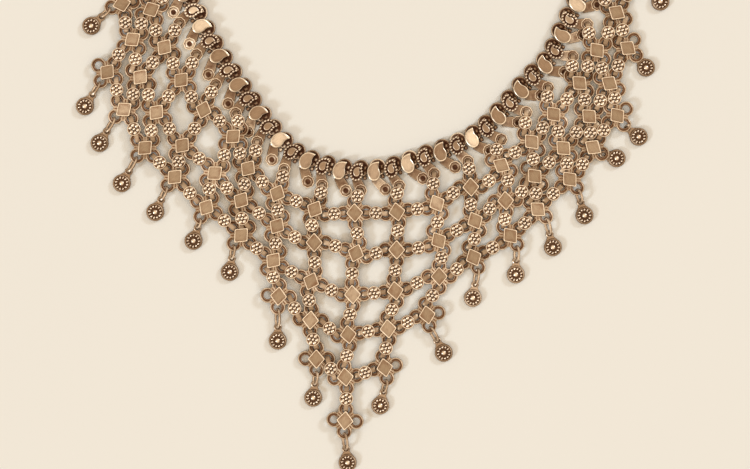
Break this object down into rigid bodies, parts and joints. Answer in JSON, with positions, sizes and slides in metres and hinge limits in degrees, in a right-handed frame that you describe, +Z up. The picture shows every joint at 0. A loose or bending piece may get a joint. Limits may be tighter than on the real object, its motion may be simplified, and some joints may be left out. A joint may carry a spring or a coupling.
{
  "type": "bib necklace",
  "caption": "Net bib necklace lying flat: comma-link collar, strands of square-capped quatrefoils and round rosette links, disc drops.",
  "frame": {"origin": "middle of the necklace's outline in plan, at the height of the surface it lies on", "axes": "+Z up from that surface, +Y from the lowest drop towards the clasp at the back of the neck, +X to the right of someone who faces the front of the necklace"},
  "size_m": [0.2142, 0.243, 0.0035],
  "materials": {
    "bright_silver": "satin caps with polished rims over a darkened ground",
    "aged_silver": "brushed flats, polished rims, dark brown patina in the hollows",
    "dark_silver": "oxidised, worn bright on the beads"
  },
  "bodies": {
    "root": {"collar_left": "bright_silver", "collar_right": "bright_silver", "chain_back_left": "aged_silver", "chain_back_right": "aged_silver", "clasp": "dark_silver", "strand_centre": "aged_silver", "strand_left_1": "aged_silver", "strand_left_2": "aged_silver", "strand_left_3": "aged_silver", "strand_left_4": "aged_silver", "strand_left_5": "aged_silver", "strand_left_6": "aged_silver", "strand_left_7": "aged_silver", "strand_left_8": "aged_silver", "strand_left_9": "aged_silver", "strand_left_10": "aged_silver", "strand_right_1": "aged_silver", "strand_right_2": "aged_silver", "strand_right_3": "aged_silver", "strand_right_4": "aged_silver", "strand_right_5": "aged_silver", "strand_right_6": "aged_silver", "strand_right_7": "aged_silver", "strand_right_8": "aged_silver", "strand_right_9": "aged_silver", "strand_right_10": "aged_silver", "drop_centre": "dark_silver", "drop_left_1": "dark_silver", "drop_left_2": "dark_silver", "drop_left_3": "dark_silver", "drop_left_4": "dark_silver", "drop_left_5": "dark_silver", "drop_left_6": "dark_silver", "drop_left_7": "dark_silver", "drop_left_8": "dark_silver", "drop_left_9": "dark_silver", "drop_left_10": "dark_silver", "drop_right_1": "dark_silver", "drop_right_2": "dark_silver", "drop_right_3": "dark_silver", "drop_right_4": "dark_silver", "drop_right_5": "dark_silver", "drop_right_6": "dark_silver", "drop_right_7": "dark_silver", "drop_right_8": "dark_silver", "drop_right_9": "dark_silver", "drop_right_10": "dark_silver"}
  },
  "joints": []
}
